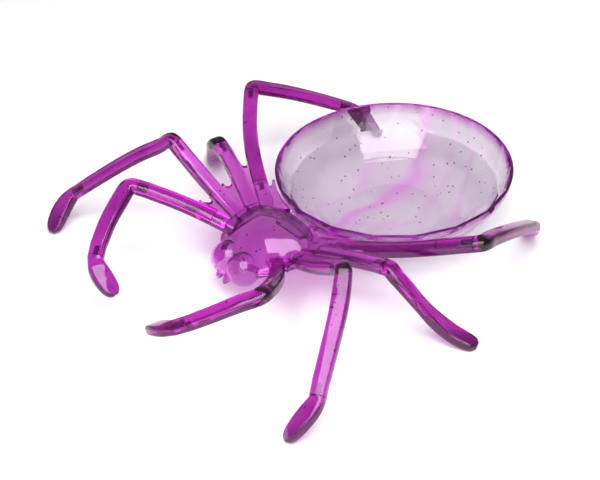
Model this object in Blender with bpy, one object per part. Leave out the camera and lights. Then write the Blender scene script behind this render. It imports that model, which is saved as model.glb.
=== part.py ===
"""A spider-shaped sweets bowl in see-through plastic: a faceted round bowl as the abdomen, a domed body
with bulging eyes and fangs, and eight arched legs of push-fit pieces.

Frame: +Z up, floor at z = 0, the bowl's axis is the Z axis, the head points along -Y and the spider's
left is +X. All lengths below are in millimetres and become metres when a mesh is made.
"""

import math

import bmesh
import bpy
from mathutils import Matrix, Vector

MM = 0.001

# --- fits ---------------------------------------------------------------------------------------------
GAP = 0.3
SEAM_GAP = 0.35
NOTCH_GAP = 1.0
SPIGOT_LENGTH = 6.0
STRAIGHT_END = 2.0
STRAIGHT_BLEND = 5.5
CUT_OVERSHOOT = 0.05
SOCKET_OVERSHOOT = 1.0

# --- leg section: a solid bar with a flat top and rounded edges ------------------------------------------
SOCKET_WALL = 2.1
FEMUR_WIDTH = 9.6
FEMUR_HEIGHT = 7.6
SHIN_WIDTH = 10.6
SHIN_HEIGHT = 7.0
ANKLE_WIDTH = 9.6
ANKLE_HEIGHT = 6.6
FOOT_WIDTH = 12.6
FOOT_HEIGHT = 6.2
TOP_RADIUS = 2.8
LOW_RADIUS = 1.6
SOCKET_RADIUS = 1.0
CORNER_STEPS = 3
ELBOW_HANDLE = 0.5
SHIN_JOIN = 0.2
LOWER_JOIN = 0.16
ANKLE_REACH = 5.0

# --- bowl ---------------------------------------------------------------------------------------------
RIM_RADIUS = 75.0
RIM_HEIGHT = 37.0
BELLY_DEPTH = 41.0
BELLY_POWER = 1.8
BOWL_SEGMENTS = 64
BELLY_LEVELS = 9
FACETS = 18
# Corner rings of the faceted inside: radius, height, and whether the ring is turned by half a facet.
FACET_RINGS = (
    (73.7, 37.0, True),
    (66.4, 22.0, False),
    (50.6, 10.6, True),
    (31.0, 3.4, False),
    (13.0, 2.2, True),
)
TONGUE_HALF_WIDTH = 12.0
TONGUE_BOTTOM = 25.8
TONGUE_TOP = 28.6
TONGUE_FRONT = -84.0
TONGUE_ROOT = -70.2

# --- body dome ----------------------------------------------------------------------------------------
# Half of the crease round the dome, from the back to the front: x, y, z.
CREASE = (
    (0.0, -74.9, 31.0),
    (10.5, -75.6, 31.0),
    (20.5, -78.8, 31.0),
    (27.6, -83.6, 31.0),
    (30.0, -90.0, 30.6),
    (28.8, -98.5, 30.0),
    (26.4, -107.0, 29.0),
    (22.0, -115.0, 27.0),
    (16.5, -121.5, 24.0),
    (9.5, -126.0, 22.0),
    (0.0, -127.5, 21.0),
)
DOME_CENTRE = (0.0, -99.0)
DOME_TOP = 41.5
DOME_POWER = 2.2
DOME_SEGMENTS = 44
DOME_RINGS = 6
DOME_WALL = 2.0
PLATE_WIDTH = 3.0
PLATE_DROP = 1.2
PLATE_STARTS = 0.45
PLATE_GROWTH = 1.6
SKIRT_BOTTOM = 24.4
SKIRT_FRONT_DROP = 7.0
SKIRT_DROP_STARTS = -110.0
SKIRT_DROP_RUN = 17.5

# --- head ---------------------------------------------------------------------------------------------
EYE_CENTRE = (7.7, -124.0, 21.2)
EYE_RADIUS = 10.6
EYE_WALL = 1.8
EYE_CUT = 12.2
EYE_CUT_X = (-25.0, 25.0)
EYE_CUT_Y = (-134.5, -112.0)
EYE_CUT_DEEPER = 3.0
EYE_TAPER = 0.72
BALL_LEVELS = 10
BALL_SEGMENTS = 24
FANG_TOP = (3.6, -131.5, 18.0)
FANG_TIP = (3.4, -135.8, 13.6)
FANG_RADIUS = 2.7

# --- legs, left side; the right side is the mirror image ------------------------------------------------
# Each list holds the control points of one Bezier curve along the middle of the section.
FEMUR_1 = ((17.0, -109.0, 28.4), (46.0, -121.5, 38.0), (66.2, -148.4, 53.0))
FEMUR_2 = ((17.0, -100.0, 28.0), (42.0, -100.5, 30.0), (82.0, -108.2, 58.8))
FEMUR_3 = ((18.0, -93.5, 28.0), (60.0, -79.0, 38.5), (81.6, -75.2, 43.0))
FEMUR_4 = ((20.0, -83.5, 28.0), (68.0, -62.0, 38.0), (78.0, -57.0, 44.5), (108.0, -31.3, 53.3))
SHIN_1 = ((71.4, -150.6, 54.2), (60.5, -165.0, 51.0), (59.5, -176.0, 47.0), (42.0, -195.0, 36.3))
SHIN_2 = ((84.5, -109.3, 58.6), (99.0, -118.0, 53.6), (112.3, -142.0, 37.0), (125.4, -159.4, 22.0))
SHIN_3 = ((83.5, -76.0, 43.6), (103.0, -71.5, 37.5), (105.5, -62.6, 6.4), (132.8, -48.4, 2.1))
SHIN_4 = ((110.6, -27.0, 53.8), (106.5, -12.0, 49.6), (97.0, 13.0, 36.5), (88.4, 33.4, 24.6))
FOOT_1 = ((42.0, -195.0, 36.3), (30.8, -198.9, 30.8), (18.8, -197.4, 22.4))
FOOT_2 = ((125.4, -159.4, 22.0), (127.6, -170.5, 14.9), (123.6, -181.2, 1.0))
FOOT_4 = ((88.4, 33.4, 24.6), (81.8, 42.4, 17.0), (71.9, 49.4, 1.0))
SOCKET_1_END = 0.27
SOCKET_4_END = 0.185
NOTCH_1_END = 0.62
NOTCH_4_END = 0.52

# --- webs: thin plates that fill the angles between neighbouring legs --------------------------------------
WEB_ABOVE = 2.0
WEB_BELOW = 0.9
WEB_NOTCH = 5.0
WEB_STATIONS = 4
# The two legs a web joins, and the parameter it reaches along each.
WEBS = (
    (FEMUR_1, 0.48, FEMUR_2, 0.54),
    (FEMUR_2, 0.54, FEMUR_3, 0.54),
    (FEMUR_3, 0.64, FEMUR_4, 0.38),
)
# Outer end of a web: share of its width, share of the notch's depth.
WEB_END = ((0.32, 0.0), (0.35, 0.53), (0.41, 0.87), (0.5, 1.0), (0.59, 0.87), (0.65, 0.53), (0.68, 0.0))
CRADLE_END = ((0.36, 0.0), (0.4, 0.53), (0.48, 0.87), (0.6, 1.0), (0.72, 0.87), (0.8, 0.53), (0.84, 0.0))
CRADLE_GAP = 0.7
CRADLE_REACH = 0.17
CRADLE_ANGLES = (-83.0, -57.5)
CRADLE_HEIGHT = 32.0

# --- colours -------------------------------------------------------------------------------------------
BODY_COLOUR = (0.44, 0.07, 0.43, 1.0)
LEG_COLOUR = (0.36, 0.02, 0.36, 1.0)
BOWL_COLOUR = (0.78, 0.62, 0.80, 1.0)
GLOSS = 0.08

# --- meshes --------------------------------------------------------------------------------------------
FLAT_DEGREES = 0.6
SHARP_DEGREES = 32.0
BOWL_SHARP_DEGREES = 12.0


# =======================================================================================================
# Meshes and materials
# =======================================================================================================
def clear_scene():
    for obj in list(bpy.data.objects):
        bpy.data.objects.remove(obj, do_unlink=True)


def plastic(name, colour):
    material = bpy.data.materials.new(name)
    material.use_nodes = True
    shader = material.node_tree.nodes["Principled BSDF"]
    shader.inputs["Base Color"].default_value = colour
    shader.inputs["Roughness"].default_value = GLOSS
    shader.inputs["Metallic"].default_value = 0.0
    return material


def mesh_object(name, vertices, faces):
    """A closed mesh object from millimetre points, with its faces turned outward."""
    mesh = bpy.data.meshes.new(name)
    mesh.from_pydata([tuple(c * MM for c in v) for v in vertices], [], faces)
    build = bmesh.new()
    build.from_mesh(mesh)
    bmesh.ops.recalc_face_normals(build, faces=build.faces)
    bmesh.ops.triangulate(build, faces=build.faces)
    build.to_mesh(mesh)
    build.free()
    obj = bpy.data.objects.new(name, mesh)
    bpy.context.scene.collection.objects.link(obj)
    return obj


def combine(target, tool, operation):
    """Joins or cuts target with tool and removes tool."""
    step = target.modifiers.new("step", "BOOLEAN")
    step.operation = operation
    step.object = tool
    step.solver = "EXACT"
    bpy.context.view_layer.update()
    graph = bpy.context.evaluated_depsgraph_get()
    result = bpy.data.meshes.new_from_object(target.evaluated_get(graph))
    target.modifiers.clear()
    target.data = result
    bpy.data.objects.remove(tool, do_unlink=True)
    weld(target)


def weld(obj, distance=2e-6):
    build = bmesh.new()
    build.from_mesh(obj.data)
    bmesh.ops.remove_doubles(build, verts=build.verts, dist=distance)
    bmesh.ops.dissolve_degenerate(build, edges=build.edges, dist=distance)
    bmesh.ops.triangulate(build, faces=build.faces)
    build.to_mesh(obj.data)
    build.free()


def set_origin(obj, point):
    """Puts the object's origin at a millimetre point and leaves the piece where it is."""
    spot = Vector(point) * MM
    obj.data.transform(Matrix.Translation(-spot))
    obj.location = spot


def finish_piece(obj, material, sharp_degrees=SHARP_DEGREES):
    obj.data.materials.clear()
    obj.data.materials.append(material)
    obj.data.shade_smooth()
    obj.data.set_sharp_from_angle(angle=math.radians(sharp_degrees))


def mirrored(point):
    return (-point[0], point[1], point[2])


def on_side(curve, side):
    return curve if side == "left" else tuple(mirrored(p) for p in curve)


# =======================================================================================================
# Curves and sections
# =======================================================================================================
def bezier(points, t):
    level = [Vector(p) for p in points]
    while len(level) > 1:
        level = [a.lerp(b, t) for a, b in zip(level, level[1:])]
    return level[0]


def bezier_part(points, start, end, count):
    """count points evenly spread over the part of the curve between two parameters."""
    return [bezier(points, start + (end - start) * i / (count - 1)) for i in range(count)]


def direction_at(points, t):
    ahead = bezier(points, min(t + 0.01, 1.0))
    behind = bezier(points, max(t - 0.01, 0.0))
    return (ahead - behind).normalized()


def distance_back(points, end, length):
    """Parameter of the point that lies a given distance before the parameter end."""
    finish = bezier(points, end)
    t = end
    while t > 0.0 and (bezier(points, t) - finish).length < length:
        t -= 0.005
    return max(t, 0.0)


def with_straight_end(points, start, end, count):
    """Points along a part of the curve whose last stretch is straight, as long as a spigot needs."""
    finish = bezier(points, end)
    ahead = direction_at(points, end)
    bend_end = distance_back(points, end, SPIGOT_LENGTH + STRAIGHT_BLEND)
    path = bezier_part(points, start, bend_end, count - 2)
    path.append(finish - ahead * (SPIGOT_LENGTH + STRAIGHT_END))
    path.append(finish)
    return path


def directions(path, first=None):
    """Unit tangent at every point of a path; first overrides the tangent at its start."""
    result = []
    for i in range(len(path)):
        before = path[max(i - 1, 0)]
        after = path[min(i + 1, len(path) - 1)]
        result.append((after - before).normalized())
    if first is not None:
        result[0] = first.normalized()
    return result


def axes(tangent):
    """Sideways and upward axes of the section standing across a tangent."""
    sideways = tangent.cross(Vector((0.0, 0.0, 1.0))).normalized()
    return sideways, sideways.cross(tangent).normalized()


def section(width, height, top_radius, low_radius):
    """Closed outline of a bar with rounded edges, from its lower left side over the top and round."""
    half = width / 2.0
    top = height / 2.0
    corners = (
        (-half + top_radius, top - top_radius, top_radius, 180.0),
        (half - top_radius, top - top_radius, top_radius, 90.0),
        (half - low_radius, low_radius - top, low_radius, 0.0),
        (low_radius - half, low_radius - top, low_radius, -90.0),
    )
    outline = []
    for x, y, radius, start in corners:
        for i in range(CORNER_STEPS + 1):
            angle = math.radians(start - 90.0 * i / CORNER_STEPS)
            outline.append((x + radius * math.cos(angle), y + radius * math.sin(angle)))
    return outline


def leg_section(width, height):
    share = min(1.0, height / SHIN_HEIGHT)
    return section(width, height, TOP_RADIUS * share, LOW_RADIUS * share)


def socket_section(width, height, inset=0.0):
    """Outline of the hole in the end of a leg piece; inset is the gap of the spigot that fills it."""
    wall = SOCKET_WALL + inset
    radius = SOCKET_RADIUS - inset
    return section(width - 2 * wall, height - 2 * wall, radius, radius)


def placed(outline, centre, tangent):
    sideways, upward = axes(tangent)
    return [centre + sideways * x + upward * y for x, y in outline]


# =======================================================================================================
# Solids made of rings
# =======================================================================================================
def loft(name, rings):
    """A closed solid through rings of equally many points."""
    count = len(rings[0])
    vertices = [p for ring in rings for p in ring]
    faces = [tuple(range(count)), tuple(range(len(vertices) - count, len(vertices)))]
    for i in range(len(rings) - 1):
        for k in range(count):
            a = i * count + k
            b = i * count + (k + 1) % count
            faces.append((a, b, b + count, a + count))
    return mesh_object(name, vertices, faces)


def spigot_rings(start, ahead, width, height):
    """The spigot behind a leg piece's first section, from its tip to the root."""
    outline = socket_section(width, height, GAP)
    return [placed(outline, start - ahead * SPIGOT_LENGTH, ahead), placed(outline, start, ahead)]


def socket_rings(end, ahead, width, height):
    """The blind hole in a leg piece's last section, from its mouth to the bottom."""
    outline = socket_section(width, height)
    return [placed(outline, end, ahead), placed(outline, end - ahead * SPIGOT_LENGTH, ahead)]


def leg_piece(name, path, widths, heights, start, has_socket):
    """One leg piece: a spigot, a solid bar along a path, and a socket in its end."""
    tangents = directions(path, start)
    rings = spigot_rings(path[0], tangents[0], widths[0], heights[0])
    for centre, tangent, width, height in zip(path, tangents, widths, heights):
        rings.append(placed(leg_section(width, height), centre, tangent))
    if has_socket:
        rings += socket_rings(path[-1], tangents[-1], widths[-1], heights[-1])
    return loft(name, rings)


def blend(start, end, t):
    return start + (end - start) * t


def spread(start, end, count):
    return [blend(start, end, i / (count - 1)) for i in range(count)]


# =======================================================================================================
# Leg pieces
# =======================================================================================================
def seam_start(curve, t):
    """First point of a piece that begins at parameter t of a curve, and the direction there."""
    ahead = direction_at(curve, t)
    return bezier(curve, t) + ahead * SEAM_GAP, ahead


def separate_femur(name, curve, socket_end):
    begin, ahead = seam_start(curve, socket_end)
    path = with_straight_end(curve, socket_end, 1.0, 9)
    path[0] = begin
    widths = [FEMUR_WIDTH] * len(path)
    heights = [FEMUR_HEIGHT] * len(path)
    return leg_piece(name, path, widths, heights, ahead, True)


def elbow_bend(femur, shin, shin_join):
    """From the end of the femur round the knee, up to the place where the shin curve is joined."""
    ahead = direction_at(femur, 1.0)
    begin = Vector(femur[-1]) + ahead * SEAM_GAP
    join = bezier(shin, shin_join)
    handle = (join - begin).length * ELBOW_HANDLE
    corners = (begin, begin + ahead * handle, join - direction_at(shin, shin_join) * handle, join)
    return [bezier(corners, t) for t in (0.0, 0.22, 0.42, 0.62, 0.82)], ahead


def shin(name, femur, curve):
    path, ahead = elbow_bend(femur, curve, SHIN_JOIN)
    lead = len(path) + 1
    path += with_straight_end(curve, SHIN_JOIN, 1.0, 7)
    widths = spread(FEMUR_WIDTH, SHIN_WIDTH, lead) + spread(SHIN_WIDTH, ANKLE_WIDTH, len(path) - lead)
    heights = spread(FEMUR_HEIGHT, SHIN_HEIGHT, lead) + spread(SHIN_HEIGHT, ANKLE_HEIGHT, len(path) - lead)
    return leg_piece(name, path, widths, heights, ahead, True)


FOOT_STATIONS = (0.0, 0.16, 0.38, 0.6, 0.78, 0.9, 0.97, 1.0)
FOOT_SHAPE = (
    (ANKLE_WIDTH, ANKLE_HEIGHT),
    (ANKLE_WIDTH, ANKLE_HEIGHT),
    (blend(ANKLE_WIDTH, FOOT_WIDTH, 0.6), ANKLE_HEIGHT),
    (FOOT_WIDTH, FOOT_HEIGHT),
    (FOOT_WIDTH * 0.97, FOOT_HEIGHT * 0.97),
    (FOOT_WIDTH * 0.84, FOOT_HEIGHT * 0.88),
    (FOOT_WIDTH * 0.58, FOOT_HEIGHT * 0.70),
    (FOOT_WIDTH * 0.30, FOOT_HEIGHT * 0.45),
)
LOWER_STATIONS = (0.15, 0.35, 0.55, 0.74, 0.87, 0.95, 0.985, 1.0)


def foot(name, shin_curve, curve):
    ahead = direction_at(shin_curve, 1.0)
    begin = Vector(shin_curve[-1]) + ahead * SEAM_GAP
    bent = (begin, begin + ahead * ANKLE_REACH, curve[1], curve[2])
    path = [bezier(bent, t) for t in FOOT_STATIONS]
    widths = [w for w, _ in FOOT_SHAPE]
    heights = [h for _, h in FOOT_SHAPE]
    return leg_piece(name, path, widths, heights, ahead, False)


def whole_lower_leg(name, femur, curve):
    """The third pair's lower leg: knee, shin and foot in one piece."""
    path, ahead = elbow_bend(femur, curve, LOWER_JOIN)
    path.append(bezier(curve, LOWER_JOIN))
    lead = len(path)
    path += [bezier(curve, blend(LOWER_JOIN, 1.0, t)) for t in LOWER_STATIONS]
    widths = spread(FEMUR_WIDTH, ANKLE_WIDTH, lead) + [ANKLE_WIDTH, ANKLE_WIDTH]
    widths += [w for w, _ in FOOT_SHAPE[2:]]
    heights = spread(FEMUR_HEIGHT, SHIN_HEIGHT, lead) + [SHIN_HEIGHT, ANKLE_HEIGHT]
    heights += [h for _, h in FOOT_SHAPE[2:]]
    return leg_piece(name, path, widths, heights, ahead, False)


# =======================================================================================================
# Bowl
# =======================================================================================================
def belly_radius(height):
    drop = (RIM_HEIGHT - height) / BELLY_DEPTH
    return RIM_RADIUS * math.sqrt(1.0 - drop**BELLY_POWER)


def circle(radius, height, count, turn=0.0):
    points = []
    for i in range(count):
        angle = 2.0 * math.pi * (i + turn) / count
        points.append((radius * math.cos(angle), radius * math.sin(angle), height))
    return points


def belly_heights():
    """Levels of the outside from the flat base to the rim, closer together near the base."""
    return [RIM_HEIGHT * (i / BELLY_LEVELS) ** 1.4 for i in range(BELLY_LEVELS + 1)]


def ring_faces(lower, upper, low_count, up_count, low_turn, up_turn):
    """Triangles between two rings with different numbers of corners, walking both rings by angle."""
    faces = []
    i = 0
    k = 0
    while i < low_count or k < up_count:
        low_next = (i + 1 + low_turn) / low_count if i < low_count else 2.0
        up_next = (k + 1 + up_turn) / up_count if k < up_count else 2.0
        a = lower + i % low_count
        b = upper + k % up_count
        if low_next <= up_next:
            faces.append((a, lower + (i + 1) % low_count, b))
            i += 1
        else:
            faces.append((a, upper + (k + 1) % up_count, b))
            k += 1
    return faces


def bowl():
    vertices = []
    faces = []
    starts = []
    for height in belly_heights():
        starts.append(len(vertices))
        vertices += circle(belly_radius(height), height, BOWL_SEGMENTS)
    faces.append(tuple(range(BOWL_SEGMENTS)))
    for low, high in zip(starts, starts[1:]):
        for k in range(BOWL_SEGMENTS):
            n = (k + 1) % BOWL_SEGMENTS
            faces.append((low + k, low + n, high + n, high + k))
    turns = [0.5 if turned else 0.0 for _, _, turned in FACET_RINGS]
    inside = []
    for (radius, height, _), turn in zip(FACET_RINGS, turns):
        inside.append(len(vertices))
        vertices += circle(radius, height, FACETS, turn)
    faces += ring_faces(inside[0], starts[-1], FACETS, BOWL_SEGMENTS, turns[0], 0.0)
    for i in range(len(inside) - 1):
        faces += ring_faces(inside[i], inside[i + 1], FACETS, FACETS, turns[i], turns[i + 1])
    faces.append(tuple(range(inside[-1], inside[-1] + FACETS)))
    return mesh_object("bowl", vertices, faces)


def box(name, x_range, y_range, z_range):
    corners = [(x, y, z) for z in z_range for x, y in _corners(x_range, y_range)]
    return loft(name, [corners[:4], corners[4:]])


def _corners(x_range, y_range):
    return (
        (x_range[0], y_range[0]),
        (x_range[1], y_range[0]),
        (x_range[1], y_range[1]),
        (x_range[0], y_range[1]),
    )


def bowl_with_tongue():
    piece = bowl()
    half = TONGUE_HALF_WIDTH
    tongue = box("tongue", (-half, half), (TONGUE_FRONT, TONGUE_ROOT), (TONGUE_BOTTOM, TONGUE_TOP))
    combine(piece, tongue, "UNION")
    return piece


# =======================================================================================================
# Body
# =======================================================================================================
def closed_spline(points, count):
    """count points, evenly spread by parameter, on a closed Catmull-Rom curve through points."""
    size = len(points)
    result = []
    for j in range(count):
        position = j * size / count
        i = int(position)
        t = position - i
        p = [Vector(points[(i + d) % size]) for d in (-1, 0, 1, 2)]
        value = p[1] * 2.0 + (p[2] - p[0]) * t
        value += (p[0] * 2.0 - p[1] * 5.0 + p[2] * 4.0 - p[3]) * t**2
        value += (p[1] * 3.0 - p[0] - p[2] * 3.0 + p[3]) * t**3
        result.append(value / 2.0)
    return result


def crease_loop():
    right = [mirrored(p) for p in reversed(CREASE[1:-1])]
    return closed_spline(list(CREASE) + right, DOME_SEGMENTS)


def outward(point):
    return Vector((point.x - DOME_CENTRE[0], point.y - DOME_CENTRE[1], 0.0)).normalized()


def plate_width(point):
    """Width of the plate outside the crease: wide at the leg roots, nothing by the bowl and the head."""
    away = outward(point)
    side = max(0.0, abs(away.x) - PLATE_STARTS) / (1.0 - PLATE_STARTS)
    return PLATE_WIDTH * min(1.0, PLATE_GROWTH * side)


def skirt_bottom(point):
    front = max(0.0, SKIRT_DROP_STARTS - point.y) / SKIRT_DROP_RUN
    return SKIRT_BOTTOM - SKIRT_FRONT_DROP * min(1.0, front)


def dome_height(edge_height, share, top):
    return edge_height + (top - edge_height) * (1.0 - share**DOME_POWER)


def dome_rings(loop, shrink, drop):
    """Rings from near the middle of the dome to its edge, drawn in and lowered for the inside."""
    centre = Vector((DOME_CENTRE[0], DOME_CENTRE[1], 0.0))
    rings = []
    for r in range(1, DOME_RINGS + 1):
        share = r / DOME_RINGS
        ring = []
        for point in loop:
            flat = Vector((point.x, point.y, 0.0))
            reach = (flat - centre).length - shrink
            spot = centre + outward(point) * reach * share
            ring.append((spot.x, spot.y, dome_height(point.z, share, DOME_TOP) - drop))
        rings.append(ring)
    return rings


def dome_outside():
    loop = crease_loop()
    rings = dome_rings(loop, 0.0, 0.0)
    plate = []
    skirt = []
    for point in loop:
        away = outward(point)
        width = plate_width(point)
        step = point + away * (width + 0.05)
        plate.append((step.x, step.y, point.z - PLATE_DROP * min(1.0, width / PLATE_WIDTH) - 0.15))
        low = point + away * (width + 0.25)
        skirt.append((low.x, low.y, skirt_bottom(point)))
    return loft("body_shell", rings + [plate, skirt])


def dome_inside():
    loop = crease_loop()
    rings = dome_rings(loop, DOME_WALL, DOME_WALL)
    low = []
    for point in loop:
        edge = point - outward(point) * DOME_WALL
        low.append((edge.x, edge.y, skirt_bottom(point) - 3.0))
    return loft("inside", rings + [low])


def ball(name, centre, radius, cut=None):
    """A sphere, or a sphere with everything below the height cut straightened into a prism."""
    levels = BALL_LEVELS
    around = BALL_SEGMENTS
    rings = []
    for i in range(1, levels):
        angle = math.pi * i / levels
        ring_radius = radius * math.sin(angle)
        height = centre[2] + radius * math.cos(angle)
        rings.append([(centre[0] + x, centre[1] + y, height) for x, y, _ in circle(ring_radius, 0.0, around)])
    if cut is not None:
        rings = [ring for ring in rings if ring[0][2] > centre[2]]
        for height, share in ((centre[2], 1.0), (cut, EYE_TAPER)):
            ring = circle(radius * share, 0.0, around)
            rings.append([(centre[0] + x, centre[1] + y, height) for x, y, _ in ring])
    return loft(name, rings)


def fang(name, side):
    top = Vector(on_side((FANG_TOP,), side)[0])
    tip = Vector(on_side((FANG_TIP,), side)[0])
    axis = (tip - top).normalized()
    across, upward = axes(axis)
    rings = []
    for share, size in ((0.0, 1.0), (0.45, 0.9), (0.75, 0.62), (0.93, 0.3), (1.0, 0.1)):
        centre = top.lerp(tip, share)
        ring = []
        for x, y, _ in circle(FANG_RADIUS * size, 0.0, 12):
            ring.append(centre + across * x + upward * y)
        rings.append(ring)
    return loft(name, rings)


def femur_bar(curve, end, stations):
    path = with_straight_end(curve, 0.0, end, stations)
    outline = leg_section(FEMUR_WIDTH, FEMUR_HEIGHT)
    rings = [placed(outline, centre, tangent) for centre, tangent in zip(path, directions(path))]
    return loft("femur", rings)


def femur_socket(curve, end):
    """The space of the socket in a femur of the body, reaching past its open end."""
    ahead = direction_at(curve, end)
    mouth = bezier(curve, end)
    outline = socket_section(FEMUR_WIDTH, FEMUR_HEIGHT)
    outside = placed(outline, mouth + ahead * SOCKET_OVERSHOOT, ahead)
    bottom = placed(outline, mouth - ahead * SPIGOT_LENGTH, ahead)
    return loft("socket", [outside, bottom])


def femur_clearance(curve, start, end):
    """The space a separate femur needs beyond its socket, wide enough for it to be pulled out."""
    path = bezier_part(curve, start, end, 5)
    path[0] -= direction_at(curve, start) * CUT_OVERSHOOT
    outline = leg_section(FEMUR_WIDTH + 2 * NOTCH_GAP, FEMUR_HEIGHT + 2 * NOTCH_GAP)
    rings = [placed(outline, centre, tangent) for centre, tangent in zip(path, directions(path))]
    return loft("clearance", rings)


def web_ring(near, far, back, end_shape):
    """Outline of a thin plate from one edge point to another, with its middle drawn back."""
    above = Vector((0.0, 0.0, WEB_ABOVE))
    below = Vector((0.0, 0.0, -WEB_BELOW))
    line = [near] + [near + (far - near) * share + back * depth for share, depth in end_shape] + [far]
    return [p + above for p in line] + [p + below for p in reversed(line)]


def web(name, near_points, far_points, end_shape):
    """A thin plate between two edges; its outer end is a round notch that deepens towards the end."""
    last = len(near_points) - 1
    back = near_points[last - 1] + far_points[last - 1] - near_points[last] - far_points[last]
    back = back.normalized() * WEB_NOTCH
    vertices = []
    for i, (near, far) in enumerate(zip(near_points, far_points)):
        vertices += web_ring(near, far, back * (i / last) ** 2, end_shape)
    count = 2 * (len(end_shape) + 2)
    faces = []
    for start in (0, last * count):
        for k in range(count // 2 - 1):
            faces.append((start + k, start + k + 1, start + count - 2 - k, start + count - 1 - k))
    for i in range(last):
        for k in range(count):
            a = i * count + k
            b = i * count + (k + 1) % count
            faces.append((a, b, b + count, a + count))
    return mesh_object(name, vertices, faces)


def leg_web(first, first_end, second, second_end):
    near = bezier_part(first, 0.0, first_end, WEB_STATIONS)
    far = bezier_part(second, 0.0, second_end, WEB_STATIONS)
    return web("web", near, far, WEB_END)


def cradle_web():
    """The web between the hind leg's root and the wall of the bowl, following the wall with a gap."""
    near = bezier_part(FEMUR_4, 0.0, CRADLE_REACH, WEB_STATIONS)
    far = []
    for i, point in enumerate(near):
        angle = math.radians(blend(CRADLE_ANGLES[0], CRADLE_ANGLES[1], i / (WEB_STATIONS - 1)))
        radius = RIM_RADIUS + CRADLE_GAP
        far.append(Vector((radius * math.cos(angle), radius * math.sin(angle), CRADLE_HEIGHT)))
    return web("web", near, far, CRADLE_END)


BODY_FEMURS = (
    (FEMUR_1, SOCKET_1_END, 4),
    (FEMUR_2, 1.0, 9),
    (FEMUR_3, 1.0, 8),
    (FEMUR_4, SOCKET_4_END, 5),
)


def simplify(obj):
    """Merges faces that lie in one plane, then makes triangles again."""
    build = bmesh.new()
    build.from_mesh(obj.data)
    bmesh.ops.dissolve_limit(
        build, angle_limit=math.radians(FLAT_DEGREES), verts=build.verts[:], edges=build.edges[:]
    )
    bmesh.ops.triangulate(build, faces=build.faces)
    build.to_mesh(obj.data)
    build.free()


def halved_and_mirrored(obj):
    """Keeps the half at +X, closes it against its mirror image."""
    build = bmesh.new()
    build.from_mesh(obj.data)
    everything = build.verts[:] + build.edges[:] + build.faces[:]
    bmesh.ops.bisect_plane(
        build, geom=everything, dist=1e-7, plane_co=(0, 0, 0), plane_no=(1, 0, 0), clear_inner=True
    )
    kept = build.verts[:] + build.edges[:] + build.faces[:]
    bmesh.ops.mirror(build, geom=kept, axis="X", merge_dist=1e-6)
    bmesh.ops.recalc_face_normals(build, faces=build.faces)
    build.to_mesh(obj.data)
    build.free()


def body():
    """The left half of the body with its legs, eye and fang, then the whole as its mirror image."""
    shell = dome_outside()
    combine(shell, ball("eye", EYE_CENTRE, EYE_RADIUS), "UNION")
    combine(shell, fang("fang", "left"), "UNION")
    for curve, end, stations in BODY_FEMURS:
        combine(shell, femur_bar(curve, end, stations), "UNION")
    for first, first_end, second, second_end in WEBS:
        combine(shell, leg_web(first, first_end, second, second_end), "UNION")
    combine(shell, cradle_web(), "UNION")
    combine(shell, femur_clearance(FEMUR_1, SOCKET_1_END, NOTCH_1_END), "DIFFERENCE")
    combine(shell, femur_clearance(FEMUR_4, SOCKET_4_END, NOTCH_4_END), "DIFFERENCE")
    combine(shell, box("low", EYE_CUT_X, EYE_CUT_Y, (0.0, EYE_CUT)), "DIFFERENCE")
    combine(shell, dome_inside(), "DIFFERENCE")
    eye_inside = ball("eye_inside", EYE_CENTRE, EYE_RADIUS - EYE_WALL, EYE_CUT - EYE_CUT_DEEPER)
    combine(shell, eye_inside, "DIFFERENCE")
    for curve, end, _ in BODY_FEMURS:
        combine(shell, femur_socket(curve, end), "DIFFERENCE")
    slot = TONGUE_HALF_WIDTH + GAP
    opening = box(
        "slot", (-slot, slot), (TONGUE_FRONT, TONGUE_ROOT), (TONGUE_BOTTOM - GAP, TONGUE_TOP + GAP)
    )
    combine(shell, opening, "DIFFERENCE")
    simplify(shell)
    halved_and_mirrored(shell)
    return shell


# =======================================================================================================
# Assembly
# =======================================================================================================
def legs(side):
    """Every separate leg piece of one side, with the middle of the seam it is pulled off from."""
    femur_1 = on_side(FEMUR_1, side)
    femur_3 = on_side(FEMUR_3, side)
    femur_4 = on_side(FEMUR_4, side)
    thigh_1 = separate_femur("femur_1_" + side, femur_1, SOCKET_1_END)
    thigh_4 = separate_femur("femur_4_" + side, femur_4, SOCKET_4_END)
    lower_leg = whole_lower_leg("lower_leg_3_" + side, femur_3, on_side(SHIN_3, side))
    pieces = [
        (thigh_1, bezier(femur_1, SOCKET_1_END)),
        (thigh_4, bezier(femur_4, SOCKET_4_END)),
        (lower_leg, femur_3[-1]),
    ]
    for number, femur, shin_curve, foot_curve in (
        (1, FEMUR_1, SHIN_1, FOOT_1),
        (2, FEMUR_2, SHIN_2, FOOT_2),
        (4, FEMUR_4, SHIN_4, FOOT_4),
    ):
        label = str(number) + "_" + side
        knee = on_side(femur, side)
        ankle = on_side(shin_curve, side)
        pieces.append((shin("shin_" + label, knee, ankle), knee[-1]))
        pieces.append((foot("foot_" + label, ankle, on_side(foot_curve, side)), ankle[-1]))
    return pieces


def main():
    clear_scene()
    body_plastic = plastic("body_plastic", BODY_COLOUR)
    leg_plastic = plastic("leg_plastic", LEG_COLOUR)
    bowl_plastic = plastic("bowl_plastic", BOWL_COLOUR)
    shell = body()
    weld(shell)
    finish_piece(shell, body_plastic)
    dish = bowl_with_tongue()
    weld(dish)
    finish_piece(dish, bowl_plastic, BOWL_SHARP_DEGREES)
    set_origin(dish, (0.0, TONGUE_FRONT, (TONGUE_BOTTOM + TONGUE_TOP) / 2.0))
    for side in ("left", "right"):
        for piece, seam in legs(side):
            weld(piece)
            finish_piece(piece, leg_plastic)
            set_origin(piece, seam)


main()
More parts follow.
